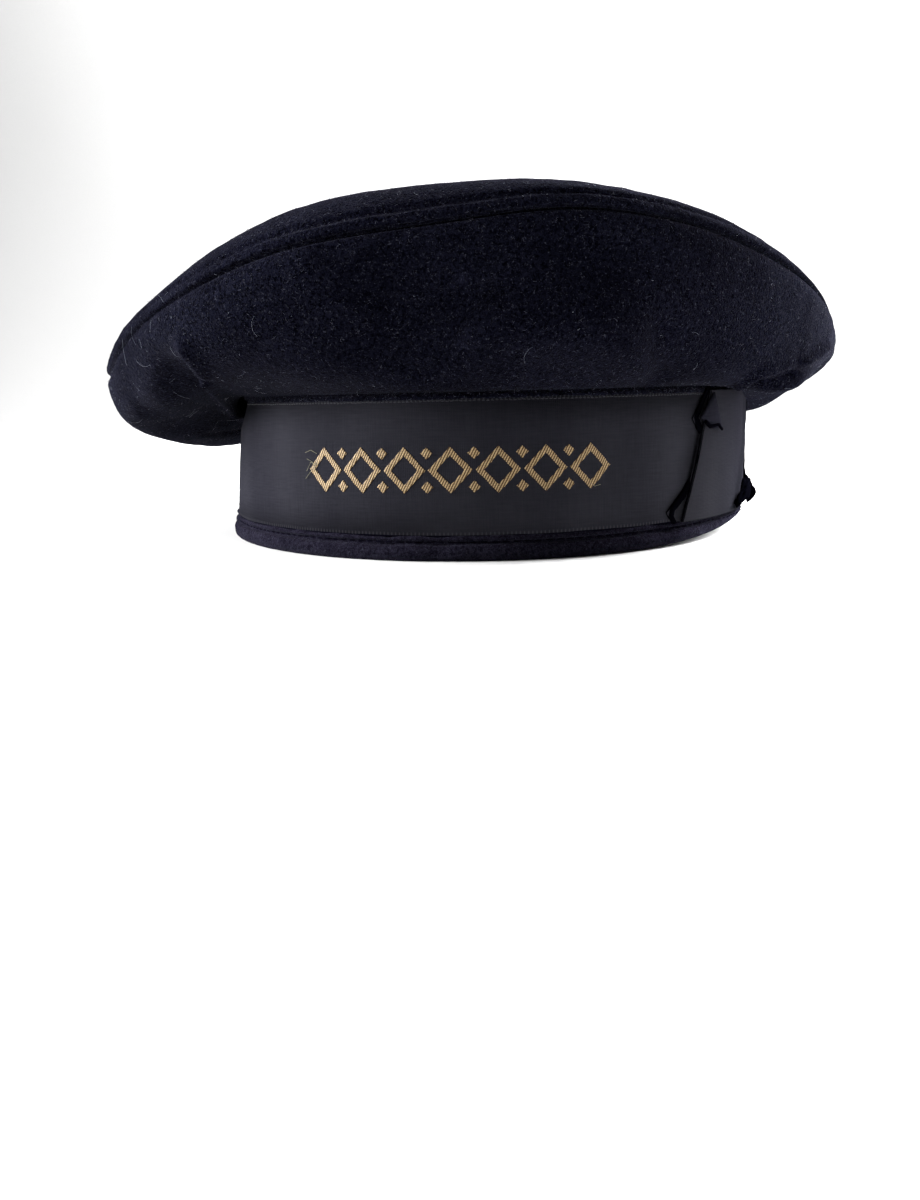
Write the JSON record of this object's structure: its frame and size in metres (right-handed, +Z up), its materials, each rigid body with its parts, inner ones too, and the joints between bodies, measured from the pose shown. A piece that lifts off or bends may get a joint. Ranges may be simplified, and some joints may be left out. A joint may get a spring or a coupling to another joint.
{
  "type": "sailor cap",
  "caption": "Soft round flat cap of dark wool cloth on an upright head band, with a ribbon and a flat bow round the band.",
  "frame": {"origin": "on the surface the cap stands on, under the middle of the round crown", "axes": "+Z up from the head band's lower edge, -Y towards the wearer's face, +X towards the wearer's left ear, where the bow is"},
  "size_m": [0.2571, 0.2569, 0.1015],
  "materials": {
    "wool": "matt dark navy felted wool",
    "ribbon": "finely ribbed black ribbon with a dull sheen"
  },
  "bodies": {
    "root": {"head_band": "wool", "band_welt": "wool", "cap_ribbon": "ribbon", "crown_side": "wool", "crown_top": "wool", "bow_tails": "ribbon", "bow_loop_front": "ribbon", "bow_loop_rear": "ribbon", "bow_knot": "ribbon"}
  },
  "joints": []
}
